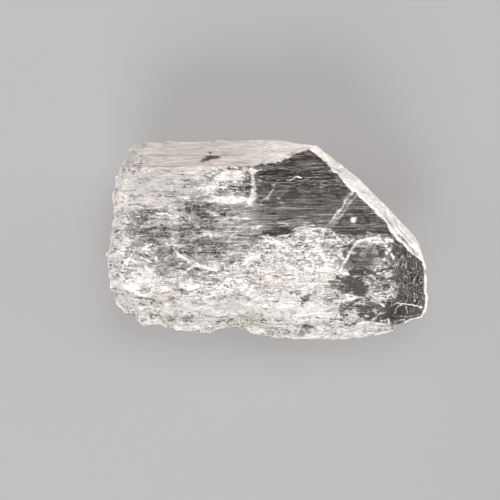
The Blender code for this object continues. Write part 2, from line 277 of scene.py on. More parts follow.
# the ledge and the creases before both ends are worn round: they wander with noise along their own length,
# and sink by a bell curve of the distance from them
def wornCreases(grid, u, v):
    worn, lift = crystal["worn"], crystal["waistLift"]
    x, y = grid[..., 0], grid[..., 1]
    near = dict(ledge=bell(v, ledge, worn["ledge"]["width"]) * band(u, *worn["ledge"]["fades"]),
                crease=bell(u, chiselCrease, worn["crease"]["width"]) * band(v, *worn["crease"]["fades"]),
                shoulder=bell(u, shoulder, worn["shoulder"]["width"]) * band(v, *worn["shoulder"]["fades"]))
    (lengthX, seedX), (lengthY, seedY) = crystal["wornTurns"]
    alongX = smoothNoise(np.stack([x, 0 * x, 0 * x], axis=-1), (lengthX, 1, 1), seedX)
    alongY = smoothNoise(np.stack([0 * y, y, 0 * y], axis=-1), (1, lengthY, 1), seedY)
    moved = grid.copy()
    moved[..., 1] += near["ledge"] * worn["ledge"]["wanders"] * alongX
    moved[..., 0] += sum(worn[name]["wanders"] * near[name] for name in ("crease", "shoulder")) * alongY
    moved[..., 2] -= sum(worn[name]["sinks"] * near[name] for name in worn)
    moved[..., 2] += lift["height"] * bell(u, waist, lift["width"]) * (1 - ramp(v, *lift["fades"]))
    return moved


# outward directions: the cross product of the steps round the skin and the steps along it
def outward(grid):
    along = np.gradient(grid, axis=0)
    wrapped = np.concatenate([grid[:, -1:], grid, grid[:, :1]], axis=1)
    normal = np.cross((wrapped[:, 2:] - wrapped[:, :-2]) / 2, along)
    return normal / np.maximum(np.linalg.norm(normal, axis=-1, keepdims=True), 1e-9)


# height above the flat faces in mm: each kind of relief times a mask of where it grows
def reliefOf(p, u, v):
    c, grows = crystal, crystal["grows"]
    hills, grooves, calm = c["etchHills"], c["chiselGrooves"], c["rimCalm"]
    x, y, z = np.moveaxis(p, -1, 0)
    body = band(u, *grows["body"])
    broken = 1 - ramp(x + layered(smoothNoise, p, c["hackleSway"]), *grows["broken"])
    lower = band(v, *grows["lower"])
    front = band(v, *grows["front"])
    glassy = ramp(u, *grows["glassy"]) * lower
    chisel = band(u, *grows["chiselAlong"]) * (1 - ramp(v, *grows["chiselRound"]))
    height = layered(smoothNoise, p, c["striae"]) * body * (1 - c["lowerStriae"] * lower)
    height += broken * layered(cleavedNoise, p, c["hackle"])
    height += broken * layered(smoothNoise, p, c["hackleSwell"])
    height += lower * (1 - glassy) * layered(cleavedNoise, p, c["steps"])
    height += front * (1 - glassy) * layered(cleavedNoise, p, c["frontSteps"])
    height *= 1 - calm["share"] * bell(v, frontRim, calm["width"]) * ramp(u, *grows["frontRim"])
    teeth = bell(v, frontRim, c["teethWidth"]) * body * (1 - glassy)
    height += teeth * layered(cleavedNoise, p, c["frontEdgeTeeth"])
    hill = hillNoise(p, hills["sizes"], hills["seed"]) - hills["foot"]
    height += glassy * (layered(smoothNoise, p, c["glassySwell"]) + hills["height"] * hill)
    across = (grooves["across"][0] * x + grooves["across"][1] * y) / grooves["width"]
    acrossChisel = np.stack([across, z / grooves["width"], 0 * x], axis=-1)
    height += chisel * grooves["height"] * smoothNoise(acrossChisel, (1, 1, 1), grooves["seed"])
    return height * (1 - band(v, *grows["soleRound"]) * band(u, *grows["soleAlong"]))


# a point inside a ball goes straight out to the ball's surface, which leaves a shell-shaped hollow
def chipped(p):
    for centre, radius in crystal["chips"]:
        away = p - np.array(centre)
        distance = np.maximum(np.linalg.norm(away, axis=-1, keepdims=True), 1e-6)
        p = np.where(distance < radius, np.array(centre) + away / distance * radius, p)
    return p


# a broken ledge near the left end: below a wandering lip the front face drops at once, and comes back slowly
def ledged(p, u, v):
    b = crystal["brokenLedge"]
    x, y = p[..., 0], p[..., 1]
    lip = b["lipY"] + b["slope"] * (x - b["lipX"]) + layered(smoothNoise, p, b["sway"])
    below = band(lip - y, *b["below"]) * (1 - ramp(x, *b["ends"]))
    cut = p.copy()
    cut[..., 2] -= b["drop"] * below * band(v, *b["around"]) * ramp(u, *b["along"])
    return cut


# what each point of the skin carries for its material
lookNames = ("white", "fibrous", "shattered", "cracked", "satin", "blush")
# stain and speck are the crystal's own marks; under marks the lower faces, where lamp light is dimmed for the
# shade beneath
flawAndShadeNames = ("stain", "speck", "under")

# what the skin looks like where
zones = dict(
    # border lines in mm: (x, y), or (y, x) for those that run from front to back
    bevelEdge=((-22, 10.2), (-16, 10), (-9, 9.9), (-5, 10.3), (-0.8, 10.5), (1.4, 10.9), (3.5, 11.7),
               (4.8, 12.4), (6.2, 12.7), (8, 12.9)),
    chiselEdge=((-3, 21.9), (-2, 20.4), (-0.4, 18.9), (0.3, 17.9), (1.4, 17), (2.4, 16.6), (3.6, 15.4),
                (5, 14), (6.8, 12), (7.8, 10.9), (9.4, 9.6), (10.4, 8.4), (12.2, 6.7), (12.6, 6)),
    glassEdge=((-13.2, 19.6), (-12.2, 18.6), (-11.7, 15.6), (-11, 15.4), (-9.6, 17), (-8.6, 17.8), (-7, 18.2),
               (-5, 17.7), (-3.4, 17.4), (-1.8, 17.2), (-0.4, 17.3), (1, 18)),
    endEdge=((-12.6, -16.4), (-11, -18.6), (-8, -19.9), (-4, -20.4), (0, -20.2), (5, -20), (8, -19.6),
             (9.6, -18.9), (10.6, -17.4), (13.9, -17.6)),
    cloudEdge=((-22, -0.8), (-18.1, -0.9), (-14.1, -0.2), (-12.4, -2.3), (-9, -3.4), (-5.6, -3.2),
               (-3.6, -2.3), (-2.7, -0.6), (-1.6, 0.5), (2.8, 0.6), (3.3, 1.4), (4.7, 2), (8.4, 1.9),
               (8.8, 1.5), (11.7, 0.8), (12.5, 0.6), (14.8, 1.2), (17, 0.7)),
    satinEdge=((-22, 3), (-19, 4.6), (-16, 4.4), (-13, 4.8), (-11.5, 6.2), (-9.5, 8.6), (-7.5, 10.2),
               (-4, 11)),
    # how the borders wander: reach in mm, cell sizes in mm and seed
    jitter=((0.25, (0.9, 0.6, 2), 61), (0.22, (0.35, 0.28, 2), 62)),
    wander=((0.5, (1.4, 3, 3), 42), (0.35, (0.45, 3, 3), 43)),
    endWander=((0.9, (2.4, 1.6, 2), 41),),
    streaks=((2.2, (9, 0.7, 9), 63), (1.4, (5, 0.25, 9), 64)),
    # how many times each border takes the jitter, or the wander for the cloud, front and upper faces
    shakes=dict(wander=1.3, glassEnd=3, brokenEnd=2.5, cloud=2, front=0.25, upper=0.15),
    # a zone fades in over these mm past its border
    fades=dict(cloud=(-0.15, 0.35), glassEnd=(-0.8, 0.5), satinLeft=(-2.8, 2.4), satinEnds=(-10, -5),
               bevel=(-0.12, 0.12), brokenEnd=(-0.7, 0.7), chisel=(-0.1, 0.1)),
    # the left half ends at these x at the pale bar, and spreads out into streaks below it
    leftHalf=dict(x=(-2.4, -1.6), spreads=(-3.4, 3.8), below=(5.6, 4.6)),
    # where each zone starts, is full, falls and ends in u (along) or v (around)
    along=dict(cap=(4.3, 5), chisel=(3.6, 3.7), under=(0.7, 1.6), rightRim=(4.89, 4.95, 4.99, 5.05),
               frontRim=(4.3, 4.5), leftRim=(0.88, 0.98, 1.03, 1.13)),
    around=dict(upper=(4.85, 5.15), front=(2.9, 3.3), glassEnd=(1.8, 2), satinLeft=(1.9, 2),
                bevel=(1.1, 1.4), chisel=(2.2, 2.35), sole=(7.2, 7.4), backFlank=(7, 7.2, 8.8, 9),
                underRim=(8.7, 8.9), frontRim=(3.89, 3.97, 4.03, 4.11), rims=(1.9, 2)),
    capReach=1.1,  # how far in v the upper faces' look reaches down the right end
    leftRim=0.6,  # share of the painted highlight along the rim at the left end
    rimHighlightBreaks=dict(mean=1.1, change=0.6, cell=0.9, seed=68),
    blushFades=(-7, 5),  # x in mm over which the bevel loses some of its pink
    blushLost=0.45,
    calms=dict(fibrous=0.7, cracked=0.8),  # shares that a calm patch takes away; of shattered, it takes all
    # for each zone: share of white, then how fibrous, shattered, cracked, satin and blushing it is
    looks=dict(
        window=(-0.29, 0.8, 0, 0, 0, 0),
        leftHalf=(0.06, 0.95, 0.8, 0.25, 0.15, 0.2),
        cloud=(0.25, 0.8, 1.5, 0.3, 0.25, 0),
        front=(0.4, 1, 1.9, 0.2, 0.45, 0.3),
        glassEnd=(-1.02, 0, 0.5, 1.2, 0, 0),
        brokenEnd=(0.68, 0.9, 3, 0.3, 0.5, 0.5),
        satinLeft=(0.33, 0.95, 0.8, 0.2, 0.4, 0.7),
        bevel=(0.94, 1.2, 0.25, 0, 0.85, 1),
        chisel=(0.86, 0.3, 0.8, 0, 0.75, 0.2),
        backFlank=(0.34, 1.3, 0.7, 0.3, 0.3, 0.4),
        # a painted highlight along the crisp rims
        rim=(0.85, 0, 0.2, 0, 0.3, 0.2),
        sole=(0.4, 0.5, 0.5, 0.4, 0.6, 0.3),
    ),
    # x, y, half length, half width, how much more white (below nothing the crystal takes the painted shade of
    # its dark tint) and how calm
    patches=(
        # the dish and what lies round it
        (13.2, -2.7, 3.3, 2.8, -0.56, 1), (15.4, -3.8, 1.2, 0.8, 0.38, -0.5),
        (13.4, -1.9, 0.6, 0.4, 0.2, -0.3), (16.3, -1.2, 1, 0.9, -0.3, 0), (16.1, -4.6, 1.2, 0.9, -0.3, 0),
        # the left end and its corners
        (-18.4, 11.6, 2.4, 2, 0.8, -1), (-18.7, 2.9, 2.2, 1, -0.2, 0), (-16.6, 3.9, 2.2, 0.5, -0.24, 0),
        (-19.9, -6.3, 1.9, 0.5, 0.5, 0.5), (-18.2, -3.6, 1.7, 1.1, 0.25, 0),
        # the milky front
        (8.6, -1.2, 1.4, 1.2, -0.2, 0), (6.2, -3, 1.4, 1.2, -0.45, 0), (6.2, -7.2, 1.3, 0.9, -0.3, 0),
        (8.4, -7.2, 3, 1, -0.32, 0), (4.2, -7.1, 1.2, 0.9, -0.25, 0), (2.6, -9.2, 1.6, 0.8, 0.25, 0),
        (-7.2, -9.4, 1.8, 0.9, 0.15, 0), (-5, -11, 1.6, 0.8, 0.15, 0), (-6, -5.1, 7.5, 0.9, -0.22, 0),
        (-2.6, -9.6, 3, 1, -0.1, 0.4), (-5.8, -9.4, 2.8, 1.1, -0.08, 0.6), (3.4, -10.8, 3, 1.4, 0.3, 0),
        # the patches at x 5 to 5.4 are painted shade in the pit and the pocket of the front
        (-8.6, -10.8, 2.6, 1.2, 0.25, 0), (5.3, -8.2, 0.8, 0.45, -0.9, -0.3),
        (5, -8.9, 0.45, 0.6, -0.9, -0.3), (5.4, -12.3, 1.4, 0.3, -1, 0), (-10.6, -7.8, 2.4, 1.2, -0.15, 0),
        (7.6, -4, 3.4, 2.6, 0.14, 0), (6.7, -10.4, 3.2, 1.5, 0.22, 0), (-5, -7.6, 6, 0.9, 0.12, 0),
        (-15, -7.4, 2.4, 0.7, 0.3, 0.2), (2, -7.9, 1.3, 0.8, -0.1, 0.6), (-11.5, -9, 2.4, 1.3, 0, 0.5),
        # the cloud's upper border and the dark blob in it
        (12.6, 0.9, 2.6, 0.8, -0.35, 0), (8.9, 0.8, 2.2, 0.9, -0.6, 0), (16.2, 1, 1, 0.9, -0.3, 0),
        (5.2, 0.9, 1.6, 0.6, 0.3, 0), (2.1, 1.45, 1.3, 0.45, -0.75, -1.2), (0.6, 1, 1.3, 0.4, -0.65, -1.2),
        (2.9, 1.1, 0.8, 0.3, -0.5, -1),
        # the dark window: its top band, flecks and paler lower half
        (11.3, 2.9, 2.2, 1, -0.25, 0), (14.3, 2.9, 1, 1, -0.25, 0), (10.3, 6.9, 1.2, 1.2, -0.2, 0),
        (1.4, 9, 2.4, 1.1, -0.3, 0), (12, 2.85, 0.55, 0.4, 1, 0), (1.5, 5.85, 0.5, 0.3, 0.6, 0),
        (-0.4, 7.7, 1.2, 0.35, -0.4, 0.3), (2.9, 7.8, 1.9, 0.4, -0.4, 0.3), (2.2, 9.1, 4.2, 1.3, -0.4, 0.9),
        (4.3, 8.65, 0.4, 0.16, 0.9, 0), (4.6, 8.9, 7.4, 2.4, -0.3, 0), (3.6, 9.2, 6.6, 1.9, -0.34, 0),
        (4.6, 11.5, 2.3, 0.8, -0.6, -0.8), (4.6, 4, 5.5, 2.2, 0.09, 0.2), (0.2, 7.6, 1.6, 1.6, 0.1, 0),
        (13.8, 3.2, 2.2, 1.5, -0.1, 0),
        # grey streaks of the left half
        (-13.8, -3.6, 3.6, 2, -0.12, 0), (-7.8, 3, 1.4, 0.9, -0.25, 0), (-13.5, -4.2, 6.5, 3.2, 0, 0.5),
        (-8, 4.4, 4.4, 0.7, -0.4, 0), (-9.2, 2.9, 3.4, 1.2, -0.34, 0), (-9, 1.5, 6.5, 0.5, -0.26, 0),
        (-9, -0.9, 3.8, 1.3, -0.36, 0.2), (-13.6, 1, 4.8, 1.1, -0.42, 0),
        (-15.6, -2.6, 4.4, 2.4, -0.3, 0.1), (-10.5, -3.8, 2.6, 0.9, -0.24, 0.2),
        (-10.8, -1.3, 2.4, 0.8, -0.15, 0), (-2.6, -4, 6.2, 1.9, -0.22, 0), (-2.6, 1.1, 2.2, 0.6, 0.15, 0),
        (-12.6, 2.4, 1.4, 0.3, 0.5, 0),
        # the pocket, the lower right corner and the flaws between them
        (12.6, -5.2, 2.4, 0.9, -0.3, 0), (12.2, -11.2, 2.6, 0.8, -0.6, 0), (11, -9.6, 1.2, 0.6, -0.35, 0),
        (15.2, -9.2, 1, 0.6, -0.35, 0.2), (13.5, -5.3, 4.2, 1, -0.4, 0),
        (12.75, -6.95, 1.9, 1.3, -1.2, -0.1), (12.9, -6.8, 0.9, 0.7, -0.7, 0), (18.8, -9, 2.2, 1, -0.3, 0),
        (15.2, -11, 2.2, 0.9, -0.3, 0), (10.4, -6.2, 2.1, 0.8, -0.8, 0.2), (14.2, -9.6, 3.6, 1.4, -0.45, 0),
        (14.5, -9.8, 1.9, 0.8, -0.6, 0.3), (9.6, -8.6, 2, 1.4, -0.08, 0), (15.8, -6.2, 1.6, 2.4, -0.42, 0),
        (18.6, -10.4, 3.3, 1.1, -0.5, 0.6),
        # the bright break, the dark gap in it and the satin beside it
        (-10.2, 4.9, 3.2, 0.9, -0.25, 0), (-9.6, 9, 1.1, 0.7, 0.45, 0), (-3, 4.9, 2, 0.4, 0.35, 0),
        (-5.7, 7.9, 1, 1.4, 0.3, -0.3), (-5.1, 9, 2.3, 1.1, 0.55, -0.8), (-8.3, 7.7, 1.3, 0.8, 0.45, -1),
        (-5.2, 5.7, 3.1, 0.5, 0.55, -1), (-4.5, 7.2, 2.2, 0.8, -0.5, -1.4), (-13.6, 7.6, 2.2, 1, 0.1, 0),
    ),
    # white cracks that come to the surface: strength, half width in mm, path of (x, y) in mm
    hairlines=(
        # the left half and the bright break
        (0.7, 0.16, ((-1.8, -0.15), (2.35, -0.4), (2.7, -1.3))),
        (0.6, 0.14, ((-10.5, 4.9), (-10.8, 3.6), (-11.1, 2.4))),
        (0.5, 0.13, ((-5.7, 4.3), (-5.6, 2.7), (-5.7, 1.8))), (0.8, 0.15, ((-5.4, 3.1), (-2.9, 3.05))),
        (0.7, 0.14, ((-9.5, 2.85), (-6, 2.9))), (0.6, 0.14, ((-5.1, 4.45), (-3.4, 4.4))),
        (0.8, 0.2, ((-11.6, 9.25), (-9.5, 10))),
        (0.9, 0.14, ((-1, 0.6), (2.6, 0.6), (3.3, 1.3), (4.6, 1.9), (6.6, 2.1))),
        # the dish's brim, a painted highlight, and the cracks round it
        (0.9, 0.18, ((9.95, -4.3), (11.5, -1.9), (11.8, -0.9), (13, 0), (16.1, -0.2), (17.3, -1.6),
                     (17, -3.4))),
        (0.8, 0.18, ((10, -4.4), (12.4, -5.5), (14.8, -4.9), (16.4, -4.3))),
        (0.8, 0.13, ((8.6, -5.4), (12.5, -5.9), (16.4, -6.1))),
        (0.8, 0.15, ((12.6, -0.2), (14.8, 0.45), (16.9, 0.8), (17.6, -0.8), (16.2, -2.5), (16.7, -3.9),
                     (14.5, -5.4))),
        (2.2, 0.22, ((17.5, -2), (17.8, -2.4))), (1.6, 0.26, ((11.5, -8.2), (13, -8.1))),
        # the cloud and the front
        (0.6, 0.15, ((2.35, -7.3), (3.6, -8.1), (4.8, -6.65), (7.9, -5.95))),
        (0.8, 0.16, ((-13.9, 0.2), (-12.6, 0.1), (-13.2, -0.8), (-13.2, -1.5), (-10.7, -3), (-8.7, -3.6),
                     (-7.2, -4.3))),
        (0.7, 0.15, ((-12.4, -5.2), (-10.7, -3.6), (-9.4, -3.45), (-7.8, -4.3))),
        (0.8, 0.14, ((-8.7, -5.05), (-6, -4.6), (-3.5, -4.2), (-2.1, -4))),
        (1, 0.25, ((-3.5, -3.45), (-2.5, -2.5), (-1.2, -2.4))), (1.3, 0.3, ((-5.7, -5.65), (-3.6, -5.7))),
        # the lower right corner and the sole's edge
        (0.7, 0.13, ((11.35, -9.6), (12.9, -8.9), (14.8, -9.2), (16.2, -10.3))),
        (0.8, 0.15, ((12.05, -12.4), (13.8, -11.65), (15.5, -11.8), (17.6, -11.9), (19.7, -11.3))),
        (1.75, 0.15, ((15.3, -11.1), (17.8, -9.2), (19, -8.9), (20.7, -9.2), (22.3, -9.6))),
        (1.5, 0.14, ((15.9, -11.7), (17.6, -10.8), (19.9, -10.9), (22.1, -10.5))),
        (2.1, 0.16, ((18.4, -10.5), (18.6, -9.8), (19.2, -9.2))),
        (1.5, 0.14, ((19.9, -9.3), (19.9, -10.5))), (1.8, 0.16, ((17.2, -11.1), (17.4, -11.8))),
        # the left end and its broken ledge, whose white lip is a painted highlight over a painted shadow
        (0.5, 0.14, ((-18.4, -1.3), (-17.4, -0.4), (-16.4, -0.6))),
        (0.6, 0.14, ((-18.3, -2), (-16.2, -3.2))), (0.7, 0.2, ((-17.4, -3.6), (-15.9, -5.05))),
        (0.6, 0.13, ((-14.8, 7.8), (-14.8, 6.8), (-14.3, 5))), (0.6, 0.13, ((-13.75, 7.5), (-13.5, 6.8))),
        (0.9, 0.16, ((-15.8, 3.7), (-12.6, 3.55), (-11.9, 2.8))), (0.7, 0.14, ((-19.9, 6.6), (-18.4, 6.8))),
        # painted highlight along the ledge's lip
        (1.3, 0.34, ((-22.2, -5.9), (-20.6, -6.6), (-19.5, -6.9), (-18.2, -6.6))),
        (1.2, 0.26, ((-18.7, -7.2), (-17.7, -7.8), (-16.5, -7.95), (-15.6, -8.25), (-14.5, -8.2))),
        # painted shadow under the lip
        (-1, 0.38, ((-18.5, -8.1), (-17.4, -8.4))), (-1, 0.38, ((-17.1, -8.35), (-16.2, -8.45))),
        (1.2, 0.35, ((-11.2, -6.9), (-10.6, -6.6), (-9.8, -6.4))),
        # the pale bar and the lines in the window
        (0.8, 0.15, ((-1.5, 1.95), (-0.3, 2))), (0.7, 0.14, ((1.3, 2.5), (2.9, 2.1))),
        (0.85, 0.62, ((-2.1, 10), (-2.1, 8), (-2, 6.6), (-2.3, 5.4))),
        (2, 0.17, ((-1.4, 8.45), (0.6, 8.5), (2.9, 8.4), (4.6, 8.8))),
        (1.6, 0.15, ((-2.2, 9.75), (3.4, 9.7))),
        # painted shadow just below the bright line
        (-0.7, 0.16, ((-1.2, 8.2), (1.5, 8.1), (3.2, 8.15), (5, 8.5))),
        (0.35, 0.16, ((1, 7.9), (0.3, 6.6), (-1.1, 4.9))),
        # the curved ribbon, the bright diamond (a painted glint) and the dark line in the chisel
        (0.6, 0.15, ((7.4, 8.1), (9.8, 8.2))),
        (1, 0.16, ((11.9, 6.8), (10.55, 5.15), (9.65, 3.6), (8.4, 2.4))),
        (0.9, 0.16, ((12.5, 6.65), (11.45, 5.15), (10.25, 3.6), (9.2, 2.25))),
        # painted glint of the bright diamond
        (0.9, 0.22, ((11.6, 3.2), (12.2, 2.9))),
        (-0.9, 0.26, ((16.5, 3.9), (16.9, 2.9), (17.5, 2), (18, 0.9), (18.8, 0.2), (19.7, -0.5),
                     (21.2, -1.8))),
        (-0.6, 0.22, ((17.8, 3.1), (18.4, 1.5), (19.2, 0.5), (20.4, -0.5))),
    ),
    hairCore=0.3,  # share of the half width that is fully white
    hairSway=dict(reach=0.22, cells=(0.8, 0.8, 2), seed=65),
    hairStrength=dict(mean=0.8, change=0.6, cells=(0.7, 0.7, 2), seed=67),
    # warm stains: x, y, half length, half width in mm and strength
    stains=((-1.8, -11.6, 2.6, 1.3, 0.36), (-14.8, -7.6, 2.6, 0.8, 0.35),
            (-14.8, -11.1, 1.4, 0.6, 0.3), (0.6, -6.4, 3.4, 0.8, 0.18), (8.2, -6.6, 1.8, 0.6, 0.2)),
    # like the stains: the dark iron-stained inclusion, specks and the growth lines of the back bevel
    specks=((-7.9, 11.7, 0.85, 0.34, 1), (-7.1, 11.75, 0.7, 0.2, 0.8), (-8.15, 12.35, 0.34, 0.2, 0.8),
            (-13.5, -11.3, 0.6, 0.3, 0.8), (-13.2, -10.9, 0.5, 0.16, 0.6), (-8.7, 11.35, 0.6, 0.24, 0.9),
            (-9.3, 11.1, 0.5, 0.14, 0.7), (-7.9, 11.6, 1.5, 0.55, 0.2), (-13.6, 12, 4.3, 0.1, 0.42),
            (-4.9, 12.05, 2.2, 0.1, 0.38), (-14.2, 10.35, 3.3, 0.1, 0.42), (-3.6, 10.9, 1.6, 0.12, 0.45)),
    # a patch fades over these shares of its size, and noise makes its edge ragged: by how much, and seed
    patchFade=(0.6, 1.15),
    ragged=((1, (0.9, 0.45, 2)), (0.8, (0.35, 0.2, 2))),
    raggedness=dict(patches=(0.45, 45), stains=(0.5, 46), specks=(0.38, 47)),
)


# adds up the soft ellipses of one kind: 1 inside a ragged edge, 0 outside, times each of their strengths
def patchwork(p, kind):
    amount, seed = zones["raggedness"][kind]
    rows = [(share, cells, seed + k) for k, (share, cells) in enumerate(zones["ragged"])]
    ragged = amount * layered(smoothNoise, p, rows)
    total = np.zeros((len(zones[kind][0]) - 4,) + p.shape[:-1])
    for cx, cy, halfX, halfY, *strengths in zones[kind]:
        d = np.sqrt(((p[..., 0] - cx) / halfX) ** 2 + ((p[..., 1] - cy) / halfY) ** 2) + ragged
        total += np.array(strengths)[:, None, None] * (1 - ramp(d, *zones["patchFade"]))
    return total


# a path with its corners cut three times: each gives way to points a quarter of the way along its two sides
def rounded(path):
    path = np.array(path, float)
    for _ in range(3):
        cut = np.stack([0.75 * path[:-1] + 0.25 * path[1:], 0.25 * path[:-1] + 0.75 * path[1:]], axis=1)
        path = np.concatenate([path[:1], cut.reshape(-1, 2), path[-1:]])
    return path


# 1 on a path seen from above and 0 from a reach in mm onwards, by the distance to its nearest straight run
def nearPath(p, path, reach):
    near = np.zeros(p.shape[:-1])
    inside = ((p[..., :2] > path.min(axis=0) - reach) & (p[..., :2] < path.max(axis=0) + reach)).all(axis=-1)
    toStart, run = p[inside][:, None, :2] - path[:-1], np.diff(path, axis=0)
    along = np.clip((toStart * run).sum(axis=-1) / (run ** 2).sum(axis=-1), 0, 1)
    distance = np.linalg.norm(toStart - along[..., None] * run, axis=-1).min(axis=1)
    near[inside] = 1 - ramp(distance, zones["hairCore"] * reach, reach)
    return near


# a border line's height over a value, straight between its points
def border(name, value):
    places, heights = np.array(zones[name], float).T
    return np.interp(value, places, heights)


# each zone's mask: 1 past its border line, which wanders with noise, and inside its bands along and round
def zoneMasks(p, u, v, upper, jitter, wander):
    shakes, fades, along, around = [zones[name] for name in ("shakes", "fades", "along", "around")]
    half, highlightBreaks = zones["leftHalf"], zones["rimHighlightBreaks"]
    x, y = p[..., 0], p[..., 1]
    pastBevel = y - border("bevelEdge", x) + jitter
    pastSatin = y - border("satinEdge", x) + wander
    pastChisel = x - border("chiselEdge", y) + jitter
    pastGlass = x - border("glassEdge", y) + shakes["glassEnd"] * jitter
    pastEnd = border("endEdge", y) - x + shakes["brokenEnd"] * jitter
    pastEnd += layered(smoothNoise, p, zones["endWander"])
    pastCloud = border("cloudEdge", x + shakes["cloud"] * wander) + wander - y
    below = ramp(y, *half["below"])
    streaked = x + jitter + below * (wander + layered(smoothNoise, p, zones["streaks"]))
    halfStart, halfEnd = [edge + spread * below for edge, spread in zip(half["x"], half["spreads"])]
    underRim = ramp(v, *around["underRim"])
    under = ramp(u, *along["under"])
    # painted highlight: a white line along the right end's rim and the front rim near it, and weaker at the
    # left end
    lowRim = band(v, *around["frontRim"]) * ramp(u, *along["frontRim"])
    rightRim = np.maximum(band(u, *along["rightRim"]), lowRim) * ramp(v, *around["rims"])
    rims = np.maximum(rightRim, zones["leftRim"] * band(u, *along["leftRim"]))
    # noise that breaks up the painted rim highlight
    worn = np.clip(highlightBreaks["mean"] + highlightBreaks["change"] * smoothNoise(p, (highlightBreaks["cell"],) * 3, highlightBreaks["seed"]), 0, 1)
    return dict(
        leftHalf=1 - ramp(streaked, halfStart, halfEnd),
        cloud=ramp(pastCloud, *fades["cloud"]),
        front=ramp(v + shakes["front"] * wander, *around["front"]) * upper,
        glassEnd=ramp(pastGlass, *fades["glassEnd"]) * ramp(v, *around["glassEnd"]) * upper,
        satinLeft=(ramp(pastSatin, *fades["satinLeft"]) * (1 - ramp(x, *fades["satinEnds"]))
                   * (1 - ramp(v, *around["satinLeft"]))),
        bevel=ramp(pastBevel, *fades["bevel"]) * (1 - ramp(v, *around["bevel"]) + underRim),
        brokenEnd=ramp(pastEnd, *fades["brokenEnd"]),
        chisel=(ramp(pastChisel, *fades["chisel"]) * ramp(u, *along["chisel"])
                * (1 - ramp(v, *around["chisel"]) + underRim)),
        sole=(1 - upper) * (1 - ramp(v, *around["sole"])) * under,
        backFlank=band(v, *around["backFlank"]) * under,
        rim=rims * upper * worn,
    )


# the look of each point: zones are laid one over another by their masks, then patches, hairlines, stains and
# specks are added on the upper faces
def skinZones(p, u, v):
    x = p[..., 0]
    jitter = layered(smoothNoise, p, zones["jitter"])
    wander = layered(smoothNoise, p, zones["wander"]) + zones["shakes"]["wander"] * jitter
    down = zones["shakes"]["upper"] * wander - zones["capReach"] * ramp(u, *zones["along"]["cap"])
    upper = 1 - ramp(v + down, *zones["around"]["upper"])
    look = np.zeros(x.shape + (len(lookNames),)) + zones["looks"]["window"]
    for name, mask in zoneMasks(p, u, v, upper, jitter, wander).items():
        look += mask[..., None] * (np.array(zones["looks"][name]) - look)
    named = dict(zip(lookNames, np.moveaxis(look, -1, 0)))
    whiter, calmer = patchwork(p, "patches") * upper
    sway, strong = zones["hairSway"], zones["hairStrength"]
    shift = [smoothNoise(p, sway["cells"], sway["seed"] + k) for k in range(2)]
    swayed = p + sway["reach"] * np.stack(shift + [0 * x], axis=-1)
    hairs = sum(share * nearPath(swayed, rounded(path), reach) for share, reach, path in zones["hairlines"])
    strengths = strong["mean"] + strong["change"] * smoothNoise(p, strong["cells"], strong["seed"])
    named["blush"] *= 1 - zones["blushLost"] * ramp(x, *zones["blushFades"])
    named["white"] += whiter
    named["white"] += hairs * upper * strengths
    named["shattered"] *= 1 - np.clip(calmer, -2, 1)
    for name, share in zones["calms"].items():
        named[name] *= 1 - share * np.clip(calmer, 0, 1)
    named["stain"] = patchwork(p, "stains")[0] * upper
    named["speck"] = np.clip(patchwork(p, "specks")[0], 0, 1) * upper
    named["under"] = 1 - upper
    return named


# a mesh from a grid that closes round the section: quads between its rows, and triangles to each pole
def closedMesh(name, grid, poles, attributes):
    rows, columns = grid.shape[:2]
    index = np.arange(rows * columns).reshape(rows, columns)
    after = np.roll(index, -1, axis=1)
    quads = np.stack([index[:-1], after[:-1], after[1:], index[1:]], axis=-1).reshape(-1, 4)
    left, right = rows * columns, rows * columns + 1
    fans = np.concatenate([np.stack([np.full(columns, left), after[0], index[0]], axis=-1),
                           np.stack([np.full(columns, right), index[-1], after[-1]], axis=-1)])
    mesh = bpy.data.meshes.new(name)
    points = np.concatenate([grid.reshape(-1, 3), poles])
    mesh.from_pydata(points.tolist(), [], quads.tolist() + fans.tolist())
    for key, value in attributes.items():
        ends = [value[0].mean(), value[-1].mean()]
        layer = mesh.attributes.new(key, "FLOAT", "POINT")
        layer.data.foreach_set("value", np.concatenate([value.ravel(), ends]).astype(np.float32))
    mesh.update()
    return mesh


# puts a finished mesh in the scene as a piece of the one body
def addPiece(mesh, material):
    piece = bpy.data.objects.new(mesh.name, mesh)
    mesh.materials.append(material)
    bpy.context.scene.collection.objects.link(piece)
    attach(piece, "root")
    return piece


# the whole skin: flat faces, outlines, relief, ledge and chips in turn, then stretched to the frame's box
def crystalSkin():
    u = np.concatenate([k + np.arange(c) / c for k, c in enumerate(crystal["cellsAlong"])])[1:]
    v = np.concatenate([k + np.arange(c) / c for k, c in enumerate(crystal["cellsAround"])])
    grid, net = ruledSkin(u, v)
    u = np.repeat(u[:, None], len(v), axis=1)
    v = np.repeat(v[None, :], len(u), axis=0)
    grid = wornCreases(ontoOutlines(grid, u, v, net), u, v)
    grid = grid + outward(grid) * reliefOf(grid, u, v)[..., None]
    grid = chipped(ledged(grid, u, v))
    poles = np.array([crystal["leftPole"], crystal["rightPole"]], float)
    everything = np.concatenate([grid.reshape(-1, 3), poles])
    low, high = everything.min(axis=0), everything.max(axis=0)
    scale = (cadHigh - cadLow) / (high - low)
    grid, poles = (grid - low) * scale + cadLow, (poles - low) * scale + cadLow
    return closedMesh("crystal_skin", grid, poles, skinZones(grid / mm, u, v)), grid / mm


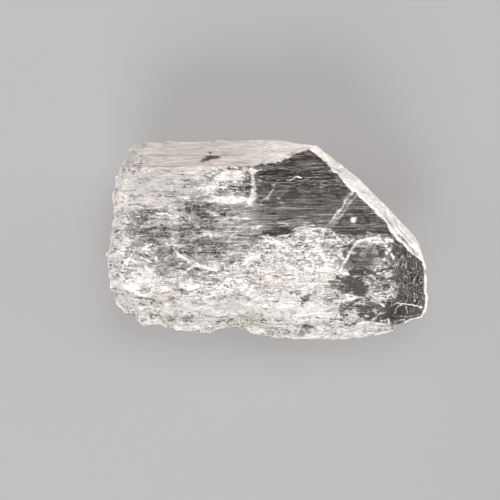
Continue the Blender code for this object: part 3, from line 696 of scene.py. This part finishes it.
skinFinish = dict(
    ior=1.633,  # danburite, 1.630 to 1.636
    clear="#ffffff",
    dark="#24201c",  # painted shade: a dark tint for sound crystal, standing in for the shade that makes clear crystal look dark
    milk="#fbf8f2",
    creviceShade="#736f6b",  # painted shade in the crevices between the white flakes
    satin="#c2bab6",  # faint pink of the satin bevels
    stain="#b39f88",
    speck="#33241d",
    absorption="#c8c4bf",
    density=80.0,  # per metre: a 14 mm thickness keeps about three fifths of the light
    lampShade=0.95,
    underShade="#b3b1b0",  # dims lamp light that passes through the sole, which sets the shade on the floor beneath the crystal
    whitening=1.35,  # times the white share, up to a milk of this cover
    milkCover=0.95,
    paintedShadeRange=(-0.35, 0.35),  # white shares over which the painted shade of clear crystal fades out
    creviceShadeRange=(0.25, 1.1),  # white shares over which the painted crevice shade fills up with milk
    roughness=0.05,
    satinRoughness=0.42,
    milkRoughness=0.15,
    bump=0.8,
    bumpDepth=0.12 * mm,
    # where, cell length and width in mm, detail, how much whiter or darker
    grainTwist=0.3,
    grains=(
        ("fibrous", 12.0, 0.45, 2.0, 0.7),  # growth lines along the prism
        ("fibrous", 2.2, 0.20, 1.0, 1.1),
        ("shattered", 3.0, 1.5, 2.0, 1.3),  # lumps of broken crystal
        ("shattered", 0.48, 0.26, 2.0, 1.5),
    ),
    # where, cell length and width in mm, how much the cells bend, how much whiter or darker
    facetSway={"Scale": 0.6, "Detail": 2.0},
    facets=(
        ("shattered", 0.75, 0.34, 0.8, 0.30),
        ("fibrous", 1.6, 0.24, 0.8, 0.2),
    ),
    # where, cell length and width in mm, line width as a share of the noise, how much whiter or darker
    strokeNoise={"Scale": 1.0, "Detail": 2.0, "Distortion": 1.2},
    strokes=(
        ("shattered", 2.6, 1.2, 0.030, 0.55),
        ("shattered", 1.7, 0.55, 0.030, -0.15),
        ("shattered", 0.9, 0.50, 0.040, 0.45),
        ("fibrous", 12.0, 0.36, 0.022, 0.80),
        ("fibrous", 4.0, 0.30, 0.030, -0.30),
        ("cracked", 0.60, 1.5, 0.030, 1.0),  # ridges between etch hills
        ("cracked", 0.42, 0.9, 0.030, 0.75),
    ),
    # wide cracks: where, cell length and width in mm, how much the cells bend, line width in cells, how white
    wallSway={"Scale": 0.8, "Detail": 3.0},
    walls=("cracked", 1.5, 2.6, 2.4, 0.07, 0.70),
)


# how many cells lie in a metre along the crystal and across it, from their length and width in mm
def cellScale(length, width):
    return (1000 / length, 1000 / width, 1000 / width)


# Danburite, natural and broken faces: glassy and colourless where it is sound, satin where growth lines are
# dense, and milky where it is full of fine cracks
def danburite():
    f = skinFinish
    material = bpy.data.materials.new("danburite_natural_faces")
    material.use_nodes = True
    tree = material.node_tree
    tree.nodes.clear()
    add = partial(addNode, tree)
    place = add("TexCoord").outputs["Object"]
    mask = {name: add("Attribute", attribute_name=name).outputs["Fac"] for name in lookNames + flawAndShadeNames}

    # relief is the sum of each pattern, centred on nothing, times the mask of where it grows
    relief = 0.0
    for where, length, width, detail, strength in f["grains"]:
        cells = add("Mapping", {"Vector": place, "Scale": cellScale(length, width)})
        noise = {"Vector": cells, "Scale": 1.0, "Detail": detail, "Distortion": f["grainTwist"]}
        grain = add("TexNoise", noise)
        centred = add("Math", {0: grain, 1: strength, 2: -strength / 2}, operation="MULTIPLY_ADD")
        relief = add("Math", {0: centred, 1: mask[where], 2: relief}, operation="MULTIPLY_ADD")
    for where, length, width, bend, strength in f["facets"]:
        cells = add("Mapping", {"Vector": place, "Scale": cellScale(length, width)})
        sway = add("TexNoise", {"Vector": cells, **f["facetSway"]}).outputs["Color"]
        bent = add("VectorMath", {0: sway, 1: (bend,) * 3, 2: cells}, operation="MULTIPLY_ADD")
        facet = add("TexVoronoi", {"Vector": bent, "Scale": 1.0}).outputs["Color"]
        centred = add("Math", {0: facet, 1: strength, 2: -strength / 2}, operation="MULTIPLY_ADD")
        relief = add("Math", {0: centred, 1: mask[where], 2: relief}, operation="MULTIPLY_ADD")
    for where, length, width, thin, strength in f["strokes"]:
        cells = add("Mapping", {"Vector": place, "Scale": cellScale(length, width)})
        wisps = add("TexNoise", {"Vector": cells, **f["strokeNoise"]})
        off = add("Math", {0: wisps, 1: 0.5}, operation="SUBTRACT")
        off = add("Math", {0: off}, operation="ABSOLUTE")
        line = add("MapRange", {"Value": off, "From Max": thin, "To Min": strength, "To Max": 0.0})
        relief = add("Math", {0: line, 1: mask[where], 2: relief}, operation="MULTIPLY_ADD")
    level = add("Math", {0: mask["white"], 1: relief}, operation="ADD")
    where, length, width, bend, thin, strength = f["walls"]
    cells = add("Mapping", {"Vector": place, "Scale": cellScale(length, width)})
    sway = add("TexNoise", {"Vector": cells, **f["wallSway"]}).outputs["Color"]
    bent = add("VectorMath", {0: sway, 1: (bend,) * 3, 2: cells}, operation="MULTIPLY_ADD")
    edge = add("TexVoronoi", {"Vector": bent, "Scale": 1.0}, feature="DISTANCE_TO_EDGE")
    line = add("MapRange", {"Value": edge, "From Max": thin, "To Min": strength, "To Max": 0.0})
    level = add("Math", {0: line, 1: mask[where], 2: level}, operation="MULTIPLY_ADD")

    # the level turns crystal with painted shade clear and then milky, and the milk fills the painted shade of
    # its crevices last
    white = add("Math", {0: level, 1: f["whitening"]}, operation="MULTIPLY", use_clamp=True)
    falling = {"To Min": 1.0, "To Max": 0.0}
    low, high = f["paintedShadeRange"]
    # painted shade: crystal below nothing takes the dark tint
    shade = add("MapRange", {"Value": level, "From Min": low, "From Max": high, **falling})
    clear = add("Mix", {0: shade, 6: linear(f["clear"]), 7: linear(f["dark"])}, data_type="RGBA").outputs[2]
    bodyColours = {0: mask["blush"], 6: linear(f["milk"]), 7: linear(f["satin"])}
    body = add("Mix", bodyColours, data_type="RGBA").outputs[2]
    low, high = f["creviceShadeRange"]
    # painted shade: the milk turns grey where the level is low, as if in shade
    creviceShadeAmount = add("MapRange", {"Value": level, "From Min": low, "From Max": high, **falling})
    body = add("Mix", {0: creviceShadeAmount, 6: body, 7: linear(f["creviceShade"])}, data_type="RGBA").outputs[2]
    colour = add("Mix", {0: white, 6: clear, 7: body}, data_type="RGBA").outputs[2]
    for flaw in ("stain", "speck"):
        colour = add("Mix", {0: mask[flaw], 6: colour, 7: linear(f[flaw])}, data_type="RGBA").outputs[2]
    milky = add("Math", {0: white, 1: f["milkCover"]}, operation="MULTIPLY")
    opaque = add("Math", {0: milky, 1: mask["speck"]}, operation="MAXIMUM")
    seeThrough = add("Math", {0: 1.0, 1: opaque}, operation="SUBTRACT", use_clamp=True)
    satin = {0: mask["satin"], 1: f["satinRoughness"], 2: f["roughness"]}
    rough = add("Math", satin, operation="MULTIPLY_ADD")
    rough = add("Math", {0: white, 1: f["milkRoughness"], 2: rough}, operation="MULTIPLY_ADD", use_clamp=True)
    bump = add("Bump", {"Height": relief, "Strength": f["bump"], "Distance": f["bumpDepth"]})
    shader = add("BsdfPrincipled", {"Base Color": colour, "Roughness": rough, "IOR": f["ior"], "Normal": bump,
                                    "Transmission Weight": seeThrough})
    inside = add("VolumeAbsorption", {"Color": linear(f["absorption"]), "Density": f["density"]})
    # lamps reach the cracks inside and the floor beneath through a plain see-through shader
    lampShades = {0: mask["under"], 6: (f["lampShade"],) * 3 + (1.0,), 7: linear(f["underShade"])}
    lampColour = add("Mix", lampShades, data_type="RGBA").outputs[2]
    lampWay = add("BsdfTransparent", {"Color": lampColour})
    isShadow = add("LightPath").outputs["Is Shadow Ray"]
    surface = add("MixShader", {0: isShadow, 1: shader, 2: lampWay})
    add("OutputMaterial", {"Surface": surface, "Volume": inside})
    return material


skinMesh, skinGrid = crystalSkin()
skinMesh.shade_smooth()
skinMesh.set_sharp_from_angle(angle=np.radians(crystal["sharpFrom"]))
skin = addPiece(skinMesh, danburite())
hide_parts("danburite_crystal")
print("crystal skin:", len(skinMesh.polygons), "faces")


# wide crumpled veils: middle, half length and half width in mm, turn and two tilts in degrees, crumple in mm,
# cover and seed
veils = {
    "cloud_upper": ((3, -5.5, 9), (14, 5.6), -2, (8, 0), 0.9, 0.5, 51),
    "cloud_middle": ((1.5, -6, 6.6), (15, 6.2), 3, (-6, 2), 1.1, 0.52, 52),
    "cloud_lower": ((2, -5, 4), (14, 5.4), -4, (5, -2), 1, 0.56, 53),
    "left_upper": ((-12.6, 0.5, 8), (8, 8), 4, (3, 4), 0.9, 0.42, 54),
    "left_lower": ((-11.5, 1.5, 4.5), (8.6, 8), -5, (-4, 3), 0.9, 0.48, 60),
    "bright_break": ((-5.3, 8.8, 12.4), (2.7, 1.3), 6, (8, -3), 0.45, 0.58, 55),
    "bright_left": ((-8.3, 7.5, 12.2), (1.5, 1), -20, (12, 8), 0.45, 0.58, 61),
    "bright_foot": ((-5.2, 5.8, 12.6), (3, 0.6), -4, (18, 0), 0.3, 0.6, 56),
    "left_corner": ((-17.6, -5.2, 9.6), (3.2, 1.9), 10, (12, 8), 0.5, 0.6, 59),
}
# fractures that reach the top face: path of (x, y), depth and sideways lean in mm, cover and seed
fractures = {
    "pale_bar": (((-2.4, 10.6), (-2.2, 8), (-2.3, 5.4)), 2.6, (0.95, 0), 0.72, 71),
    "curved_ribbon": (((12, 7), (10.6, 5.3), (9.6, 3.6), (8.2, 2.2)), 2.6, (0.9, -0.1), 0.58, 72),
    "ribbon_edge": (((12, 7), (10.6, 5.2), (9.7, 3.6), (8.3, 2.3)), 0.6, (0.12, 0), 0.9, 73),
    "ribbon_back": (((12.6, 6.7), (11.5, 5.2), (10.3, 3.6), (9.2, 2.2)), 0.5, (0.1, 0), 0.8, 74),
    "cloud_brim": (((-1, 0.6), (2.6, 0.6), (3.3, 1.3), (4.6, 1.9), (6.6, 2.1)), 0.8, (0, -0.14), 0.9, 75),
    "slanting_hair": (((1.1, 8), (0.2, 6.6), (-1.1, 4.9)), 0.4, (0.08, 0), 0.66, 76),
    "long_hair": (((-13, 0.3), (-13.1, -1.4), (-10.7, -3), (-7.7, -4.3)), 0.7, (0.1, -0.1), 0.88, 77),
    "arc_hair": (((-12.4, -5.3), (-11.2, -3.9), (-9.8, -3.3), (-8.2, -3.5)), 0.6, (0.06, -0.1), 0.85, 78),
    "low_hair": (((-8.7, -5.1), (-6, -4.8), (-3.5, -4.2), (-2.4, -2.5), (-1.3, -2.3)), 0.6, (0, -0.14),
                 0.9, 79),
    "corner_hair": (((-18.3, -2), (-17.2, -3.5), (-15.6, -5.1)), 0.7, (0.16, 0), 0.9, 80),
    "dish_brim": (((9.95, -4.3), (11.5, -1.9), (11.8, -0.9), (13.6, 0)), 0.6, (0.14, 0), 0.9, 81),
    # diamond: a small flat flake whose white is a painted glint
    "diamond": (((11.6, 3.2), (12.2, 3)), 0.3, (0.1, -0.6), 1, 85),
    "left_line": (((-18, 1.6), (-12, 1.4), (-6, 1.2)), 0.4, (0, -0.1), 0.76, 88),
}
sheets = dict(
    veilPoints=(90, 60),
    fracturePoints=(80, 12),
    underTop=0.25,  # mm that a sheet stays below the top face
    overSole=0.8,  # mm above the floor
    folds=(0.6, (4, 3, 3)),  # share of the crumple that is smooth, and its cells in mm
    breaks=(0.5, (1.6, 1.0, 1.6)),  # share that is broken, and its cells
    shakes=((0.16, (0.9, 0.9, 1)), (0.05, (0.3, 0.3, 1))),  # of a fracture's path: reach and cells in mm
    # squares over the crystal seen from above, in which the height of the top is kept
    corner=(-27, -18),
    square=0.6,
    squares=(90, 60),
    topAbove=5.0,  # mm: skin over this height counts as the top
    # the cracks' white flakes: cells in a metre along and across, and the noise over which they thicken
    flakes=(900, 2600, 2600),
    flakeNoise={"Scale": 1, "Detail": 3, "Roughness": 0.6, "Distortion": 0.6},
    thickens=(1.0, 1.14),
    white="#ffffff",
    roughness=0.4,
    ior=1.3,
)


# the indices of the square that holds each (x, y): the distance from the corner in squares, rounded down
def squareOf(x, y):
    left, front = sheets["corner"]
    return ((x - left) / sheets["square"]).astype(int), ((y - front) / sheets["square"]).astype(int)


# the height of the top over each square: the lowest upper skin point in it and in the eight round it
def topHeight():
    x, y, z = np.moveaxis(skinGrid, -1, 0)
    top = z > sheets["topAbove"]
    lowest = np.full(sheets["squares"], 99.0)
    np.minimum.at(lowest, squareOf(x[top], y[top]), z[top])
    around = [np.roll(lowest, (i, j), axis=(0, 1)) for i in (-1, 0, 1) for j in (-1, 0, 1)]
    return np.min(around, axis=0)


topSquares = topHeight()


# a sheet from a grid of points in mm, kept under the top and over the sole
def innerSheet(name, grid, cover):
    ceiling = topSquares[squareOf(grid[..., 0], grid[..., 1])] - sheets["underTop"]
    grid[..., 2] = np.clip(np.minimum(grid[..., 2], ceiling), sheets["overSole"], None)
    index = np.arange(cover.size).reshape(cover.shape)
    quads = np.stack([index[:-1, :-1], index[1:, :-1], index[1:, 1:], index[:-1, 1:]], axis=-1).reshape(-1, 4)
    mesh = bpy.data.meshes.new(name)
    mesh.from_pydata((grid * mm).reshape(-1, 3).tolist(), [], quads.tolist())
    layer = mesh.attributes.new("cover", "FLOAT", "POINT")
    layer.data.foreach_set("value", cover.ravel().astype(np.float32))
    mesh.shade_smooth()
    return mesh


# s and t over the two given ranges, with this many points along each
def parameters(sRange, tRange, points):
    return np.meshgrid(np.linspace(*sRange, points[0]), np.linspace(*tRange, points[1]), indexing="ij")


# a crumpled veil: its middle plus s and t along two tilted axes, plus noise along the third,
# with a cover that falls to nothing at its edges by (1 - s^4)(1 - t^4)
def veilSheet(name, middle, half, turn, tilt, crumple, cover, seed):
    s, t = parameters((-1, 1), (-1, 1), sheets["veilPoints"])
    a, b, c = np.radians([turn, *tilt])
    sAxis = np.array([np.cos(a) * np.cos(c), np.sin(a) * np.cos(c), np.sin(c)])
    tAxis = np.array([-np.sin(a) * np.cos(b), np.cos(a) * np.cos(b), np.sin(b)])
    flat = np.array(middle) + s[..., None] * half[0] * sAxis + t[..., None] * half[1] * tAxis
    folds, breaks = (*sheets["folds"], seed), (*sheets["breaks"], seed + 10)
    lift = crumple * (layered(smoothNoise, flat, [folds]) + layered(cleavedNoise, flat, [breaks]))
    grid = flat + np.cross(sAxis, tAxis) * lift[..., None]
    return innerSheet(name, grid, (1 - s ** 4) * (1 - t ** 4) * cover)


# a fracture: s runs along the rounded path, which noise shakes, and t runs down by the depth and sideways,
# with a cover that falls to nothing at its two ends by 1 - (2s - 1)^8
def fractureSheet(name, path, depth, lean, cover, seed):
    s, t = parameters((0, 1), (0, 1), sheets["fracturePoints"])
    knots = rounded(path)
    run = np.concatenate([[0], np.cumsum(np.linalg.norm(np.diff(knots, axis=0), axis=1))])
    onPath = [np.interp(s * run[-1], run, knots[:, axis]) for axis in range(2)]
    p = np.stack(onPath + [0 * s], axis=-1)
    rows = [[(*shake, seed + 2 * axis + k) for k, shake in enumerate(sheets["shakes"])] for axis in range(2)]
    x, y = [onPath[axis] + t * lean[axis] + layered(smoothNoise, p, rows[axis]) for axis in range(2)]
    z = topSquares[squareOf(x, y)].min(axis=1, keepdims=True) - sheets["underTop"] - t * depth
    return innerSheet(name, np.stack([x, y, z], axis=-1), (1 - (2 * s - 1) ** 8) * cover)


# Air-filled crack in danburite: broken white flakes with clear gaps between them
def crackedDanburite():
    material = bpy.data.materials.new("danburite_inner_cracks")
    material.use_nodes = True
    tree = material.node_tree
    tree.nodes.clear()
    add = partial(addNode, tree)
    place = add("TexCoord").outputs["Object"]
    cells = add("Mapping", {"Vector": place, "Scale": sheets["flakes"]})
    flakes = add("TexNoise", {"Vector": cells, **sheets["flakeNoise"]})
    cover = add("Attribute", attribute_name="cover").outputs["Fac"]
    both = add("Math", {0: flakes, 1: cover}, operation="ADD")
    low, high = sheets["thickens"]
    alpha = add("MapRange", {"Value": both, "From Min": low, "From Max": high})
    shader = add("BsdfPrincipled", {"Base Color": linear(sheets["white"]), "Roughness": sheets["roughness"],
                                    "IOR": sheets["ior"], "Alpha": alpha})
    add("OutputMaterial", {"Surface": shader})
    return material


crackMaterial = crackedDanburite()
for name, veil in veils.items():
    addPiece(veilSheet("veil_" + name, *veil), crackMaterial)
for name, fracture in fractures.items():
    addPiece(fractureSheet("fracture_" + name, *fracture), crackMaterial)
print("veils:", len(veils), "fractures:", len(fractures))


studio = dict(
    floor="#8d8d8e",
    floorRoughness=0.9,
    floorShine=0.1,
    floorReach=1.5,  # metres from the crystal to the floor's edges
    floorGap=0.00005,  # metres under the sole
    world="#f2f4f6",
    worldStrength=0.20,
    focal=135.0,  # mm on a sensor this wide
    sensor=36.0,
    frameWidth=500 / 7.0,  # mm of the crystal across the picture
    lookAt=(-2.51, -1.36, 8.0),  # mm
    clip=(0.01, 10.0),  # metres
    aim=(0, 0, 8),  # mm, where the lamps point
    # soft boxes: place and size in mm, power in watts and colour
    boxes={
        "back_box": ((60, 260, 400), (420, 300), 3.1, "#fffaf6"),
        "right_box": ((420, 160, 160), (220, 200), 0.6, "#f6f9ff"),
        "left_box": ((-420, 60, 200), (220, 200), 0.8, "#ffffff"),
        "front_fill": ((-120, -420, 260), (360, 260), 3.5, "#ffffff"),
    },
)


# a soft box: a rectangular area lamp at its place, turned to face the crystal
def softBox(name, place, size, power, colour):
    light = bpy.data.lights.new(name, "AREA")
    light.shape = "RECTANGLE"
    light.size, light.size_y = size[0] * mm, size[1] * mm
    light.energy = power
    light.color = linear(colour)[:3]
    lamp = bpy.data.objects.new(name, light)
    lamp.location = Vector(place) * mm
    lamp.rotation_euler = (Vector(studio["aim"]) - Vector(place)).to_track_quat("-Z", "Y").to_euler()
    bpy.context.scene.collection.objects.link(lamp)


# Matt paper floor: even pale grey with no shine
def paperFloor():
    material = bpy.data.materials.new("matt_paper_floor")
    material.use_nodes = True
    shader = material.node_tree.nodes["Principled BSDF"]
    shader.inputs["Base Color"].default_value = linear(studio["floor"])
    shader.inputs["Roughness"].default_value = studio["floorRoughness"]
    shader.inputs["Specular IOR Level"].default_value = studio["floorShine"]
    mesh = bpy.data.meshes.new("studio_floor")
    far, drop = studio["floorReach"], -studio["floorGap"]
    corners = [(-far, -far, drop), (far, -far, drop), (far, far, drop), (-far, far, drop)]
    mesh.from_pydata(corners, [], [(0, 1, 2, 3)])
    mesh.materials.append(material)
    floor = bpy.data.objects.new("studio_floor", mesh)
    bpy.context.scene.collection.objects.link(floor)


# an even pale surrounding light
def studioWorld():
    world = bpy.data.worlds.new("studio")
    world.use_nodes = True
    back = world.node_tree.nodes["Background"]
    back.inputs["Color"].default_value = linear(studio["world"])
    back.inputs["Strength"].default_value = studio["worldStrength"]
    bpy.context.scene.world = world


# straight above the crystal, at the frame's width times the focal length over the sensor's width
def studioCamera():
    data = bpy.data.cameras.new("camera")
    data.lens, data.sensor_width = studio["focal"], studio["sensor"]
    distance = studio["frameWidth"] * studio["focal"] / studio["sensor"]
    camera = bpy.data.objects.new("camera", data)
    camera.location = (Vector(studio["lookAt"]) + Vector((0, 0, distance))) * mm
    data.clip_start, data.clip_end = studio["clip"]
    bpy.context.scene.collection.objects.link(camera)
    bpy.context.scene.camera = camera


paperFloor()
studioWorld()
studioCamera()
for name, box in studio["boxes"].items():
    softBox(name, *box)
bpy.context.scene.view_settings.view_transform = "Standard"
print("studio ready")
